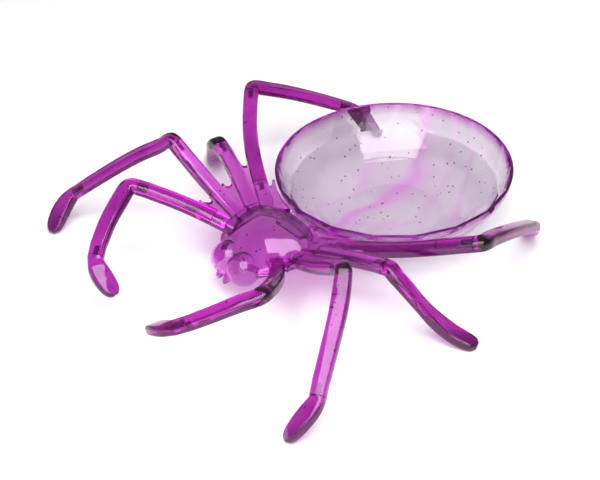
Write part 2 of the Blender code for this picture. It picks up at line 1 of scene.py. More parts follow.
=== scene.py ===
"""Looks of the see-through spider bowl: smooth clear-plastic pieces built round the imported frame.

Lengths are in millimetres until a mesh is made. The frame is the record's: +Z up, the bowl's axis is the Z
axis, the head points along -Y and the spider's left is +X.
"""

import math

import bmesh
import bpy
from mathutils import Matrix, Vector


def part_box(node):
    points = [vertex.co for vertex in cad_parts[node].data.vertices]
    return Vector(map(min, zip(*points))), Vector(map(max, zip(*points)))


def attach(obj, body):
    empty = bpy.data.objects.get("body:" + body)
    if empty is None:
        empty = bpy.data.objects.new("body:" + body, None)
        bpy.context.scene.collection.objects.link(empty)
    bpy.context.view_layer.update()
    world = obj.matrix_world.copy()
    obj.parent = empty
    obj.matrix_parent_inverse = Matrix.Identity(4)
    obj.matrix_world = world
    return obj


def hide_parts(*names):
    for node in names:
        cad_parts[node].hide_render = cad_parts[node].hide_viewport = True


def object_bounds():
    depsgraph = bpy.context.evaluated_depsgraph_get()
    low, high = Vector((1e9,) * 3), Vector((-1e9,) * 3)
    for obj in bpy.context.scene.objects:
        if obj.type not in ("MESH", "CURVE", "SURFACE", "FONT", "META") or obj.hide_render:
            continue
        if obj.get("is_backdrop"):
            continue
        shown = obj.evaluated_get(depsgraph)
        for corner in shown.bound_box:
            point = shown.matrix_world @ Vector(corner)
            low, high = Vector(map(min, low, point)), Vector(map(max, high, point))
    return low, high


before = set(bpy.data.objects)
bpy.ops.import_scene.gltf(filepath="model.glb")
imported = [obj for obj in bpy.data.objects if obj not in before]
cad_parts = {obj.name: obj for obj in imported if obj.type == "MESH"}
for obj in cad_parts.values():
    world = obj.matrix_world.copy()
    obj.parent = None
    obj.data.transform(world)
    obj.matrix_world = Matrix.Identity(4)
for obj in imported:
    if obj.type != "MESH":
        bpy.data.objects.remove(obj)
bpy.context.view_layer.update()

MM = 0.001

# --- fits and leg section -------------------------------------------------------------------------------
GAP = 0.3
SEAM_GAP = 0.35
NOTCH_GAP = 1.0
SPIGOT_LENGTH = 6.0
STRAIGHT_END = 2.0
STRAIGHT_BLEND = 5.5
CUT_OVERSHOOT = 0.05
SOCKET_OVERSHOOT = 1.0
SPIGOT_GAP = 0.3
SOCKET_DEPTH = 6.6
# The wider spigot of the CAD, which sets the box of a leg piece.
FULL_SPIGOT_WALL = 2.4
FULL_SPIGOT_RADIUS = 0.7
FEMUR_WIDTH = 9.6
FEMUR_HEIGHT = 7.6
SHIN_WIDTH = 10.6
SHIN_HEIGHT = 7.0
ANKLE_WIDTH = 9.6
ANKLE_HEIGHT = 6.6
FOOT_WIDTH = 12.6
FOOT_HEIGHT = 6.2
TOP_RADIUS = 2.8
LOW_RADIUS = 1.6
SOCKET_RADIUS = 0.6
SOCKET_SHARE = 0.34
CORNER_STEPS = 6
ELBOW_HANDLE = 0.5
SHIN_JOIN = 0.2
LOWER_JOIN = 0.16
ANKLE_REACH = 5.0
SMOOTH_STEPS = 4

# --- bowl ---------------------------------------------------------------------------------------------
RIM_RADIUS = 75.0
RIM_HEIGHT = 37.0
BELLY_DEPTH = 41.0
BELLY_POWER = 1.8
BOWL_SEGMENTS = 144
BELLY_LEVELS = 28
FACETS = 18
# Corner rings of the faceted inside: radius, height, and whether the ring is turned by half a facet.
FACET_RINGS = (
    (73.7, 37.0, True),
    (66.4, 22.0, False),
    (50.6, 10.6, True),
    (31.0, 3.4, False),
    (13.0, 2.2, True),
)
TONGUE_HALF_WIDTH = 12.0
TONGUE_BOTTOM = 25.8
TONGUE_TOP = 28.6
TONGUE_FRONT = -84.0
TONGUE_ROOT = -70.2

# --- body dome ----------------------------------------------------------------------------------------
# Half of the crease round the dome, from the back to the front: x, y, z.
CREASE = (
    (0.0, -74.9, 31.0),
    (10.5, -75.6, 31.0),
    (20.5, -78.8, 31.0),
    (27.6, -83.6, 31.0),
    (30.0, -90.0, 30.6),
    (28.8, -98.5, 30.0),
    (26.4, -107.0, 29.0),
    (22.0, -115.0, 27.0),
    (16.5, -121.5, 24.0),
    (9.5, -126.0, 22.0),
    (0.0, -127.5, 21.0),
)
DOME_CENTRE = (0.0, -99.0)
DOME_TOP = 41.5
DOME_POWER = 2.2
DOME_SEGMENTS = 96
DOME_RINGS = 16
DOME_WALL = 2.0
PLATE_WIDTH = 3.0
PLATE_DROP = 1.2
SKIRT_BOTTOM = 24.4
SKIRT_FRONT_DROP = 7.0

# --- head ---------------------------------------------------------------------------------------------
EYE_CENTRE = (7.7, -124.0, 21.2)
EYE_RADIUS = 10.6
EYE_WALL = 1.2
EYE_CUT = 12.2
BALL_LEVELS = 24
BALL_SEGMENTS = 48
FANG_TOP = (3.6, -131.5, 18.0)
FANG_TIP = (3.4, -135.8, 13.6)
FANG_RADIUS = 2.7
FANG_SEGMENTS = 20
# Share of the way to the tip, share of the radius.
FANG_PROFILE = ((0.0, 1.0), (0.3, 0.97), (0.5, 0.87), (0.7, 0.68), (0.86, 0.44), (0.96, 0.2), (1.0, 0.06))

# --- legs, left side; the right side is the mirror image ------------------------------------------------
# Each list holds the control points of one Bezier curve along the middle of the section.
FEMUR_1 = ((17.0, -109.0, 28.4), (46.0, -121.5, 38.0), (66.2, -148.4, 53.0))
FEMUR_2 = ((17.0, -100.0, 28.0), (42.0, -100.5, 30.0), (82.0, -108.2, 58.8))
FEMUR_3 = ((18.0, -93.5, 28.0), (60.0, -79.0, 38.5), (81.6, -75.2, 43.0))
FEMUR_4 = ((20.0, -83.5, 28.0), (68.0, -62.0, 38.0), (78.0, -57.0, 44.5), (108.0, -31.3, 53.3))
SHIN_1 = ((71.4, -150.6, 54.2), (60.5, -165.0, 51.0), (59.5, -176.0, 47.0), (42.0, -195.0, 36.3))
SHIN_2 = ((84.5, -109.3, 58.6), (99.0, -118.0, 53.6), (112.3, -142.0, 37.0), (125.4, -159.4, 22.0))
SHIN_3 = ((83.5, -76.0, 43.6), (103.0, -71.5, 37.5), (105.5, -62.6, 6.4), (132.8, -48.4, 2.1))
SHIN_4 = ((110.6, -27.0, 53.8), (106.5, -12.0, 49.6), (97.0, 13.0, 36.5), (88.4, 33.4, 24.6))
FOOT_1 = ((42.0, -195.0, 36.3), (30.8, -198.9, 30.8), (18.8, -197.4, 22.4))
FOOT_2 = ((125.4, -159.4, 22.0), (127.6, -170.5, 14.9), (123.6, -181.2, 1.0))
FOOT_4 = ((88.4, 33.4, 24.6), (81.8, 42.4, 17.0), (71.9, 49.4, 1.0))
SOCKET_1_END = 0.27
SOCKET_4_END = 0.185
NOTCH_1_END = 0.62
NOTCH_4_END = 0.52
FOOT_STATIONS = (0.0, 0.16, 0.38, 0.6, 0.78, 0.9, 0.97, 1.0)
FOOT_SHAPE = (
    (ANKLE_WIDTH, ANKLE_HEIGHT),
    (ANKLE_WIDTH, ANKLE_HEIGHT),
    (ANKLE_WIDTH + (FOOT_WIDTH - ANKLE_WIDTH) * 0.6, ANKLE_HEIGHT),
    (FOOT_WIDTH, FOOT_HEIGHT),
    (FOOT_WIDTH * 0.97, FOOT_HEIGHT * 0.97),
    (FOOT_WIDTH * 0.84, FOOT_HEIGHT * 0.88),
    (FOOT_WIDTH * 0.58, FOOT_HEIGHT * 0.70),
    (FOOT_WIDTH * 0.30, FOOT_HEIGHT * 0.45),
)
LOWER_STATIONS = (0.15, 0.35, 0.55, 0.74, 0.87, 0.95, 0.985, 1.0)

# --- webs between neighbouring legs ------------------------------------------------------------------------
WEB_ABOVE = 2.0
WEB_BELOW = 0.9
WEB_NOTCH = 5.0
WEB_STATIONS = 4
WEBS = (
    (FEMUR_1, 0.48, FEMUR_2, 0.54),
    (FEMUR_2, 0.54, FEMUR_3, 0.54),
    (FEMUR_3, 0.64, FEMUR_4, 0.38),
)
# Outer end of a web: share of its width, share of the notch's depth.
WEB_END = ((0.32, 0.0), (0.35, 0.53), (0.41, 0.87), (0.5, 1.0), (0.59, 0.87), (0.65, 0.53), (0.68, 0.0))
CRADLE_END = ((0.36, 0.0), (0.4, 0.53), (0.48, 0.87), (0.6, 1.0), (0.72, 0.87), (0.8, 0.53), (0.84, 0.0))
CRADLE_GAP = 0.7
CRADLE_REACH = 0.17
CRADLE_ANGLES = (-83.0, -57.5)
CRADLE_HEIGHT = 32.0


# =======================================================================================================
# Meshes
# =======================================================================================================
# Points that count towards a piece's box besides its own mesh, by the piece's name.
BOX_POINTS = {}


def mesh_object(name, vertices, faces):
    """A closed mesh object from millimetre points, with its faces turned outward."""
    mesh = bpy.data.meshes.new(name)
    mesh.from_pydata([tuple(c * MM for c in v) for v in vertices], [], faces)
    build = bmesh.new()
    build.from_mesh(mesh)
    bmesh.ops.recalc_face_normals(build, faces=build.faces)
    build.to_mesh(mesh)
    build.free()
    obj = bpy.data.objects.new(name, mesh)
    bpy.context.scene.collection.objects.link(obj)
    return obj


def combine(target, tool, operation):
    """Joins or cuts target with tool and removes tool."""
    step = target.modifiers.new("step", "BOOLEAN")
    step.operation = operation
    step.object = tool
    step.solver = "EXACT"
    bpy.context.view_layer.update()
    graph = bpy.context.evaluated_depsgraph_get()
    result = bpy.data.meshes.new_from_object(target.evaluated_get(graph))
    target.modifiers.clear()
    target.data = result
    bpy.data.objects.remove(tool, do_unlink=True)
    weld(target)


def weld(obj, distance=2e-6):
    build = bmesh.new()
    build.from_mesh(obj.data)
    bmesh.ops.remove_doubles(build, verts=build.verts, dist=distance)
    bmesh.ops.dissolve_degenerate(build, edges=build.edges, dist=distance)
    build.to_mesh(obj.data)
    build.free()


def mirrored(point):
    return (-point[0], point[1], point[2])


def on_side(curve, side):
    return curve if side == "left" else tuple(mirrored(p) for p in curve)


def blend(start, end, t):
    return start + (end - start) * t


def spread(start, end, count):
    return [blend(start, end, i / (count - 1)) for i in range(count)]


# =======================================================================================================
# Curves and sections
# =======================================================================================================
def bezier(points, t):
    level = [Vector(p) for p in points]
    while len(level) > 1:
        level = [a.lerp(b, t) for a, b in zip(level, level[1:])]
    return level[0]


def bezier_part(points, start, end, count):
    return [bezier(points, blend(start, end, i / (count - 1))) for i in range(count)]


def direction_at(points, t):
    ahead = bezier(points, min(t + 0.01, 1.0))
    behind = bezier(points, max(t - 0.01, 0.0))
    return (ahead - behind).normalized()


def distance_back(points, end, length):
    finish = bezier(points, end)
    t = end
    while t > 0.0 and (bezier(points, t) - finish).length < length:
        t -= 0.005
    return max(t, 0.0)


def with_straight_end(points, start, end, count):
    """Points along a part of the curve whose last stretch is straight, as long as a spigot needs."""
    finish = bezier(points, end)
    ahead = direction_at(points, end)
    bend_end = distance_back(points, end, SPIGOT_LENGTH + STRAIGHT_BLEND)
    path = bezier_part(points, start, bend_end, count - 2)
    path.append(finish - ahead * (SPIGOT_LENGTH + STRAIGHT_END))
    path.append(finish)
    return path


def directions(path, first=None):
    result = []
    for i in range(len(path)):
        before = path[max(i - 1, 0)]
        after = path[min(i + 1, len(path) - 1)]
        result.append((after - before).normalized())
    if first is not None:
        result[0] = first.normalized()
    return result


def between(values, i, t):
    """Catmull-Rom value between values i and i + 1; works on numbers and vectors."""
    last = len(values) - 1
    a = values[max(i - 1, 0)]
    b = values[i]
    c = values[min(i + 1, last)]
    d = values[min(i + 2, last)]
    smooth = b * 2.0 + (c - a) * t
    smooth += (a * 2.0 - b * 5.0 + c * 4.0 - d) * t**2
    smooth += (b * 3.0 - a - c * 3.0 + d) * t**3
    return smooth * 0.5


def refined(values, steps):
    """The same values with steps - 1 smooth ones between each two."""
    result = []
    for i in range(len(values) - 1):
        result += [between(values, i, k / steps) for k in range(steps)]
    result.append(values[-1])
    return result


def axes(tangent):
    sideways = tangent.cross(Vector((0.0, 0.0, 1.0))).normalized()
    return sideways, sideways.cross(tangent).normalized()


def section(width, height, top_radius, low_radius):
    """Closed outline of a bar with rounded edges, from its lower left side over the top and round."""
    half = width / 2.0
    top = height / 2.0
    corners = (
        (-half + top_radius, top - top_radius, top_radius, 180.0),
        (half - top_radius, top - top_radius, top_radius, 90.0),
        (half - low_radius, low_radius - top, low_radius, 0.0),
        (low_radius - half, low_radius - top, low_radius, -90.0),
    )
    outline = []
    for x, y, radius, start in corners:
        for i in range(CORNER_STEPS + 1):
            angle = math.radians(start - 90.0 * i / CORNER_STEPS)
            outline.append((x + radius * math.cos(angle), y + radius * math.sin(angle)))
    return outline


def leg_section(width, height):
    share = min(1.0, height / SHIN_HEIGHT)
    return section(width, height, TOP_RADIUS * share, LOW_RADIUS * share)


def socket_section(width, height, inset=0.0):
    """Outline of the hole in the end of a leg piece; inset is the gap of the spigot that fills it."""
    radius = SOCKET_RADIUS - inset
    return section(width * SOCKET_SHARE - 2 * inset, height * SOCKET_SHARE - 2 * inset, radius, radius)


def placed(outline, centre, tangent):
    sideways, upward = axes(tangent)
    return [centre + sideways * x + upward * y for x, y in outline]


# =======================================================================================================
# Solids made of rings
# =======================================================================================================
def loft(name, rings):
    count = len(rings[0])
    vertices = [p for ring in rings for p in ring]
    faces = [tuple(range(count)), tuple(range(len(vertices) - count, len(vertices)))]
    for i in range(len(rings) - 1):
        for k in range(count):
            a = i * count + k
            b = i * count + (k + 1) % count
            faces.append((a, b, b + count, a + count))
    return mesh_object(name, vertices, faces)


def spigot_rings(start, ahead, width, height):
    """The spigot behind a leg piece's first section, from its tip to the root."""
    outline = socket_section(width, height, SPIGOT_GAP)
    return [placed(outline, start - ahead * SPIGOT_LENGTH, ahead), placed(outline, start, ahead)]


def socket_rings(end, ahead, width, height):
    """The blind hole in a leg piece's last section, from its mouth to the bottom."""
    outline = socket_section(width, height)
    return [placed(outline, end, ahead), placed(outline, end - ahead * SOCKET_DEPTH, ahead)]


def full_spigot_points(start, ahead, width, height):
    """Corners of the CAD's wider spigot, in metres: they take part in the piece's box."""
    wall = 2 * FULL_SPIGOT_WALL
    outline = section(width - wall, height - wall, FULL_SPIGOT_RADIUS, FULL_SPIGOT_RADIUS)
    return [p * MM for p in placed(outline, start - ahead * SPIGOT_LENGTH, ahead)]


def leg_piece(name, path, widths, heights, start, has_socket):
    """One leg piece: a spigot, a smooth solid bar along a path, and a socket in its end."""
    tangents = [t.normalized() for t in refined(directions(path, start), SMOOTH_STEPS)]
    path = refined(path, SMOOTH_STEPS)
    widths = refined(widths, SMOOTH_STEPS)
    heights = refined(heights, SMOOTH_STEPS)
    rings = spigot_rings(path[0], tangents[0], widths[0], heights[0])
    for centre, tangent, width, height in zip(path, tangents, widths, heights):
        rings.append(placed(leg_section(width, height), centre, tangent))
    if has_socket:
        rings += socket_rings(path[-1], tangents[-1], widths[-1], heights[-1])
    BOX_POINTS[name] = full_spigot_points(path[0], tangents[0], widths[0], heights[0])
    return loft(name, rings)


# =======================================================================================================
# Leg pieces
# =======================================================================================================
def separate_femur(name, curve, socket_end):
    ahead = direction_at(curve, socket_end)
    path = with_straight_end(curve, socket_end, 1.0, 9)
    path[0] = bezier(curve, socket_end) + ahead * SEAM_GAP
    widths = [FEMUR_WIDTH] * len(path)
    heights = [FEMUR_HEIGHT] * len(path)
    return leg_piece(name, path, widths, heights, ahead, True)


def elbow_bend(femur, shin_curve, shin_join):
    ahead = direction_at(femur, 1.0)
    begin = Vector(femur[-1]) + ahead * SEAM_GAP
    join = bezier(shin_curve, shin_join)
    handle = (join - begin).length * ELBOW_HANDLE
    corners = (begin, begin + ahead * handle, join - direction_at(shin_curve, shin_join) * handle, join)
    return [bezier(corners, t) for t in (0.0, 0.22, 0.42, 0.62, 0.82)], ahead


def shin(name, femur, curve):
    path, ahead = elbow_bend(femur, curve, SHIN_JOIN)
    lead = len(path) + 1
    path += with_straight_end(curve, SHIN_JOIN, 1.0, 7)
    widths = spread(FEMUR_WIDTH, SHIN_WIDTH, lead) + spread(SHIN_WIDTH, ANKLE_WIDTH, len(path) - lead)
    heights = spread(FEMUR_HEIGHT, SHIN_HEIGHT, lead) + spread(SHIN_HEIGHT, ANKLE_HEIGHT, len(path) - lead)
    return leg_piece(name, path, widths, heights, ahead, True)


def foot(name, shin_curve, curve):
    ahead = direction_at(shin_curve, 1.0)
    begin = Vector(shin_curve[-1]) + ahead * SEAM_GAP
    bent = (begin, begin + ahead * ANKLE_REACH, curve[1], curve[2])
    path = [bezier(bent, t) for t in FOOT_STATIONS]
    widths = [w for w, _ in FOOT_SHAPE]
    heights = [h for _, h in FOOT_SHAPE]
    return leg_piece(name, path, widths, heights, ahead, False)


def whole_lower_leg(name, femur, curve):
    """The third pair's lower leg: knee, shin and foot in one piece."""
    path, ahead = elbow_bend(femur, curve, LOWER_JOIN)
    path.append(bezier(curve, LOWER_JOIN))
    lead = len(path)
    path += [bezier(curve, blend(LOWER_JOIN, 1.0, t)) for t in LOWER_STATIONS]
    widths = spread(FEMUR_WIDTH, ANKLE_WIDTH, lead) + [ANKLE_WIDTH, ANKLE_WIDTH]
    widths += [w for w, _ in FOOT_SHAPE[2:]]
    heights = spread(FEMUR_HEIGHT, SHIN_HEIGHT, lead) + [SHIN_HEIGHT, ANKLE_HEIGHT]
    heights += [h for _, h in FOOT_SHAPE[2:]]
    return leg_piece(name, path, widths, heights, ahead, False)


# =======================================================================================================
# Bowl
# =======================================================================================================
def belly_radius(height):
    drop = (RIM_HEIGHT - height) / BELLY_DEPTH
    return RIM_RADIUS * math.sqrt(1.0 - drop**BELLY_POWER)


def circle(radius, height, count, turn=0.0):
    points = []
    for i in range(count):
        angle = 2.0 * math.pi * (i + turn) / count
        points.append((radius * math.cos(angle), radius * math.sin(angle), height))
    return points


def ring_faces(lower, upper, low_count, up_count, low_turn, up_turn):
    """Triangles between two rings with different numbers of corners, walking both rings by angle."""
    faces = []
    i = 0
    k = 0
    while i < low_count or k < up_count:
        low_next = (i + 1 + low_turn) / low_count if i < low_count else 2.0
        up_next = (k + 1 + up_turn) / up_count if k < up_count else 2.0
        a = lower + i % low_count
        b = upper + k % up_count
        if low_next <= up_next:
            faces.append((a, lower + (i + 1) % low_count, b))
            i += 1
        else:
            faces.append((a, upper + (k + 1) % up_count, b))
            k += 1
    return faces


def bowl():
    vertices = []
    faces = []
    starts = []
    for i in range(BELLY_LEVELS + 1):
        height = RIM_HEIGHT * (i / BELLY_LEVELS) ** 1.4
        starts.append(len(vertices))
        vertices += circle(belly_radius(height), height, BOWL_SEGMENTS)
    faces.append(tuple(range(BOWL_SEGMENTS)))
    for low, high in zip(starts, starts[1:]):
        for k in range(BOWL_SEGMENTS):
            n = (k + 1) % BOWL_SEGMENTS
            faces.append((low + k, low + n, high + n, high + k))
    turns = [0.5 if turned else 0.0 for _, _, turned in FACET_RINGS]
    inside = []
    for (radius, height, _), turn in zip(FACET_RINGS, turns):
        inside.append(len(vertices))
        vertices += circle(radius, height, FACETS, turn)
    faces += ring_faces(inside[0], starts[-1], FACETS, BOWL_SEGMENTS, turns[0], 0.0)
    for i in range(len(inside) - 1):
        faces += ring_faces(inside[i], inside[i + 1], FACETS, FACETS, turns[i], turns[i + 1])
    faces.append(tuple(range(inside[-1], inside[-1] + FACETS)))
    return mesh_object("clear_bowl", vertices, faces)


def box(name, x_range, y_range, z_range):
    rings = []
    for z in z_range:
        x0, x1 = x_range
        y0, y1 = y_range
        rings.append([(x0, y0, z), (x1, y0, z), (x1, y1, z), (x0, y1, z)])
    return loft(name, rings)


def bowl_with_tongue():
    piece = bowl()
    half = TONGUE_HALF_WIDTH
    tongue = box("tongue", (-half, half), (TONGUE_FRONT, TONGUE_ROOT), (TONGUE_BOTTOM, TONGUE_TOP))
    combine(piece, tongue, "UNION")
    return piece


# =======================================================================================================
# Body
# =======================================================================================================
def closed_spline(points, count):
    size = len(points)
    result = []
    for j in range(count):
        position = j * size / count
        i = int(position)
        t = position - i
        p = [Vector(points[(i + d) % size]) for d in (-1, 0, 1, 2)]
        value = p[1] * 2.0 + (p[2] - p[0]) * t
        value += (p[0] * 2.0 - p[1] * 5.0 + p[2] * 4.0 - p[3]) * t**2
        value += (p[1] * 3.0 - p[0] - p[2] * 3.0 + p[3]) * t**3
        result.append(value / 2.0)
    return result


def crease_loop():
    right = [mirrored(p) for p in reversed(CREASE[1:-1])]
    return closed_spline(list(CREASE) + right, DOME_SEGMENTS)


def outward(point):
    return Vector((point.x - DOME_CENTRE[0], point.y - DOME_CENTRE[1], 0.0)).normalized()


def plate_width(point):
    away = outward(point)
    side = max(0.0, abs(away.x) - 0.45) / 0.55
    return PLATE_WIDTH * min(1.0, 1.6 * side)


def skirt_bottom(point):
    front = max(0.0, -(point.y + 110.0)) / 17.5
    return SKIRT_BOTTOM - SKIRT_FRONT_DROP * min(1.0, front)


def dome_height(edge_height, share, top):
    return edge_height + (top - edge_height) * (1.0 - share**DOME_POWER)


def dome_rings(loop, shrink, drop):
    centre = Vector((DOME_CENTRE[0], DOME_CENTRE[1], 0.0))
    rings = []
    for r in range(1, DOME_RINGS + 1):
        share = r / DOME_RINGS
        ring = []
        for point in loop:
            flat = Vector((point.x, point.y, 0.0))
            reach = (flat - centre).length - shrink
            spot = centre + outward(point) * reach * share
            ring.append((spot.x, spot.y, dome_height(point.z, share, DOME_TOP) - drop))
        rings.append(ring)
    return rings


def dome_outside():
    loop = crease_loop()
    rings = dome_rings(loop, 0.0, 0.0)
    plate = []
    skirt = []
    for point in loop:
        away = outward(point)
        width = plate_width(point)
        step = point + away * (width + 0.05)
        plate.append((step.x, step.y, point.z - PLATE_DROP * min(1.0, width / PLATE_WIDTH) - 0.15))
        low = point + away * (width + 0.25)
        skirt.append((low.x, low.y, skirt_bottom(point)))
    return loft("clear_body", rings + [plate, skirt])


def dome_inside():
    loop = crease_loop()
    rings = dome_rings(loop, DOME_WALL, DOME_WALL)
    low = []
    for point in loop:
        edge = point - outward(point) * DOME_WALL
        low.append((edge.x, edge.y, skirt_bottom(point) - 3.0))
    return loft("inside", rings + [low])


def ball(name, centre, radius, cut=None):
    """A sphere, or a sphere with everything below the height cut straightened into a prism."""
    rings = []
    for i in range(1, BALL_LEVELS):
        angle = math.pi * i / BALL_LEVELS
        height = centre[2] + radius * math.cos(angle)
        ring = circle(radius * math.sin(angle), 0.0, BALL_SEGMENTS)
        rings.append([(centre[0] + x, centre[1] + y, height) for x, y, _ in ring])
    if cut is not None:
        rings = [ring for ring in rings if ring[0][2] > centre[2] + 0.01]
        for height, share in ((centre[2], 1.0), (cut, 0.72)):
            ring = circle(radius * share, 0.0, BALL_SEGMENTS)
            rings.append([(centre[0] + x, centre[1] + y, height) for x, y, _ in ring])
    return loft(name, rings)


def fang(name):
    top = Vector(FANG_TOP)
    tip = Vector(FANG_TIP)
    across, upward = axes((tip - top).normalized())
    rings = []
    for share, size in FANG_PROFILE:
        centre = top.lerp(tip, share)
        ring = circle(FANG_RADIUS * size, 0.0, FANG_SEGMENTS)
        rings.append([centre + across * x + upward * y for x, y, _ in ring])
    return loft(name, rings)


def body_femur_path(curve, end, stations):
    path = with_straight_end(curve, 0.0, end, stations)
    tangents = directions(path)
    smooth = [t.normalized() for t in refined(tangents, SMOOTH_STEPS)]
    return refined(path, SMOOTH_STEPS), smooth


def femur_bar(curve, end, stations):
    path, tangents = body_femur_path(curve, end, stations)
    outline = leg_section(FEMUR_WIDTH, FEMUR_HEIGHT)
    return loft("femur", [placed(outline, centre, tangent) for centre, tangent in zip(path, tangents)])


def femur_socket(curve, end):
    """The space of the socket in a femur of the body, reaching past its open end."""
    ahead = direction_at(curve, end)
    mouth = bezier(curve, end)
    outline = socket_section(FEMUR_WIDTH, FEMUR_HEIGHT)
    outside = placed(outline, mouth + ahead * SOCKET_OVERSHOOT, ahead)
    bottom = placed(outline, mouth - ahead * SOCKET_DEPTH, ahead)
    return loft("socket", [outside, bottom])


def femur_clearance(curve, start, end):
    path = bezier_part(curve, start, end, 9)
    path[0] -= direction_at(curve, start) * CUT_OVERSHOOT
    outline = leg_section(FEMUR_WIDTH + 2 * NOTCH_GAP, FEMUR_HEIGHT + 2 * NOTCH_GAP)
    rings = [placed(outline, centre, tangent) for centre, tangent in zip(path, directions(path))]
    return loft("clearance", rings)


def web_ring(near, far, back, end_shape):
    """Outline of a thin plate from one edge point to another, with its middle drawn back."""
    above = Vector((0.0, 0.0, WEB_ABOVE))
    below = Vector((0.0, 0.0, -WEB_BELOW))
    line = [near] + [near + (far - near) * share + back * depth for share, depth in end_shape] + [far]
    return [p + above for p in line] + [p + below for p in reversed(line)]


def web(name, near_points, far_points, end_shape):
    """A thin plate between two edges; its outer end is a round notch that deepens towards the end."""
    last = len(near_points) - 1
    back = near_points[last - 1] + far_points[last - 1] - near_points[last] - far_points[last]
    back = back.normalized() * WEB_NOTCH
    vertices = []
    for i, (near, far) in enumerate(zip(near_points, far_points)):
        vertices += web_ring(near, far, back * (i / last) ** 2, end_shape)
    count = 2 * (len(end_shape) + 2)
    faces = []
    for start in (0, last * count):
        for k in range(count // 2 - 1):
            faces.append((start + k, start + k + 1, start + count - 2 - k, start + count - 1 - k))
    for i in range(last):
        for k in range(count):
            a = i * count + k
            b = i * count + (k + 1) % count
            faces.append((a, b, b + count, a + count))
    return mesh_object(name, vertices, faces)


def leg_web(first, first_end, second, second_end):
    near = bezier_part(first, 0.0, first_end, WEB_STATIONS)
    far = bezier_part(second, 0.0, second_end, WEB_STATIONS)
    return web("web", near, far, WEB_END)


def cradle_web():
    near = bezier_part(FEMUR_4, 0.0, CRADLE_REACH, WEB_STATIONS)
    far = []
    for i in range(len(near)):
        angle = math.radians(blend(CRADLE_ANGLES[0], CRADLE_ANGLES[1], i / (len(near) - 1)))
        radius = RIM_RADIUS + CRADLE_GAP
        far.append(Vector((radius * math.cos(angle), radius * math.sin(angle), CRADLE_HEIGHT)))
    return web("web", near, far, CRADLE_END)


BODY_FEMURS = (
    (FEMUR_1, SOCKET_1_END, 4),
    (FEMUR_2, 1.0, 9),
    (FEMUR_3, 1.0, 8),
    (FEMUR_4, SOCKET_4_END, 5),
)


def halved_and_mirrored(obj):
    build = bmesh.new()
    build.from_mesh(obj.data)
    everything = build.verts[:] + build.edges[:] + build.faces[:]
    bmesh.ops.bisect_plane(
        build, geom=everything, dist=1e-7, plane_co=(0, 0, 0), plane_no=(1, 0, 0), clear_inner=True
    )
    kept = build.verts[:] + build.edges[:] + build.faces[:]
    bmesh.ops.mirror(build, geom=kept, axis="X", merge_dist=1e-6)
    bmesh.ops.recalc_face_normals(build, faces=build.faces)
    build.to_mesh(obj.data)
    build.free()


def body():
    shell = dome_outside()
    combine(shell, ball("eye", EYE_CENTRE, EYE_RADIUS), "UNION")
    combine(shell, fang("fang"), "UNION")
    for curve, end, stations in BODY_FEMURS:
        combine(shell, femur_bar(curve, end, stations), "UNION")
    for first, first_end, second, second_end in WEBS:
        combine(shell, leg_web(first, first_end, second, second_end), "UNION")
    combine(shell, cradle_web(), "UNION")
    combine(shell, femur_clearance(FEMUR_1, SOCKET_1_END, NOTCH_1_END), "DIFFERENCE")
    combine(shell, femur_clearance(FEMUR_4, SOCKET_4_END, NOTCH_4_END), "DIFFERENCE")
    combine(shell, box("low", (-25.0, 25.0), (-134.5, -112.0), (0.0, EYE_CUT)), "DIFFERENCE")
    combine(shell, dome_inside(), "DIFFERENCE")
    combine(shell, ball("eye_inside", EYE_CENTRE, EYE_RADIUS - EYE_WALL, EYE_CUT - 3.0), "DIFFERENCE")
    for curve, end, _ in BODY_FEMURS:
        combine(shell, femur_socket(curve, end), "DIFFERENCE")
    slot = TONGUE_HALF_WIDTH + GAP
    slot_heights = (TONGUE_BOTTOM - GAP, TONGUE_TOP + GAP)
    combine(shell, box("slot", (-slot, slot), (TONGUE_FRONT, TONGUE_ROOT), slot_heights), "DIFFERENCE")
    halved_and_mirrored(shell)
    return shell


# =======================================================================================================
# Materials
# =======================================================================================================
CLOUD_SCALE = 38.0
CLOUD_STOPS = ((0.36, 0.0), (0.70, 1.0))
RIPPLE_SCALE = 95.0
PLASTIC_IOR = 1.49
ROUGHNESS_BASE = 0.015
ROUGHNESS_SPREAD = 0.05
BUMP_STRENGTH = 0.07
BUMP_DEPTH = 0.0002


def node(tree, kind, **settings):
    made = tree.nodes.new(kind)
    for name, value in settings.items():
        setattr(made, name, value)
    return made


def ramp(tree, source, stops):
    made = node(tree, "ShaderNodeValToRGB")
    elements = made.color_ramp.elements
    while len(elements) < len(stops):
        elements.new(0.5)
    for element, (place, value) in zip(elements, stops):
        element.position = place
        element.color = (value, value, value, 1.0)
    tree.links.new(source, made.inputs["Fac"])
    return made.outputs["Color"]


def math_node(tree, operation, a, b=0.0):
    made = node(tree, "ShaderNodeMath", operation=operation)
    for socket, value in zip(made.inputs, (a, b)):
        if isinstance(value, (int, float)):
            socket.default_value = value
        else:
            tree.links.new(value, socket)
    return made.outputs["Value"]


def mix_colour(tree, share, a, b):
    made = node(tree, "ShaderNodeMix", data_type="RGBA")
    for socket, value in ((made.inputs[0], share), (made.inputs[6], a), (made.inputs[7], b)):
        if isinstance(value, (int, float)):
            socket.default_value = value
        elif isinstance(value, tuple):
            socket.default_value = value
        else:
            tree.links.new(value, socket)
    return made.outputs[2]


def specks(tree, coordinates, spacing, radius):
    """1 in small dots where a random point lies close to the surface, else 0; both sizes in metres."""
    cells = node(tree, "ShaderNodeTexVoronoi", feature="F1")
    cells.inputs["Scale"].default_value = 1.0 / spacing
    tree.links.new(coordinates, cells.inputs["Vector"])
    limit = radius / spacing
    return ramp(tree, cells.outputs["Distance"], ((0.0, 1.0), (limit * 0.75, 1.0), (limit, 0.0)))


